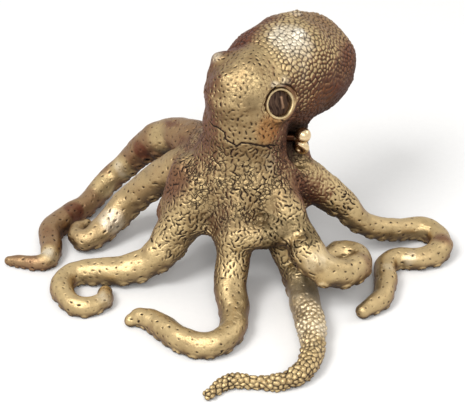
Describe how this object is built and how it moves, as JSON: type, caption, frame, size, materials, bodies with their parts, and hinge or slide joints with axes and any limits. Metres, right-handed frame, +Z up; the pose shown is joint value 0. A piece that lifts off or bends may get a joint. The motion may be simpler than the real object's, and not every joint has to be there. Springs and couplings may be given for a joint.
{
  "type": "octopus figurine",
  "caption": "Small free-standing cast brass octopus ornament with a beaded bag-shaped mantle, ringed eyes and curling arms, dark in its recesses.",
  "frame": {"origin": "middle of the footprint, at the floor that the arms rest on", "axes": "+X to the right of a viewer facing the front of the figure, +Y away from that viewer, +Z up"},
  "size_m": [0.0626, 0.054, 0.0335],
  "materials": {
    "antique_brass": "lost-wax casting, burnished on the high spots, dark brown patina left in the pits and under the arms",
    "blackened_brass": "blackened eye discs with a soft sheen",
    "brass_rod": "drawn rod, as cut"
  },
  "bodies": {
    "root": {"crown": "antique_brass", "mantle": "antique_brass", "siphon": "antique_brass", "arm_pins": "brass_rod", "neck_pin": "brass_rod", "arm_front_left": "antique_brass", "arm_front_right": "antique_brass", "arm_right_curl": "antique_brass", "arm_right": "antique_brass", "arm_rear_right": "antique_brass", "arm_rear_left": "antique_brass", "arm_left": "antique_brass", "arm_left_curl": "antique_brass", "eye_ring_left": "antique_brass", "eye_left": "blackened_brass", "eye_ring_right": "antique_brass", "eye_right": "blackened_brass"}
  },
  "joints": []
}
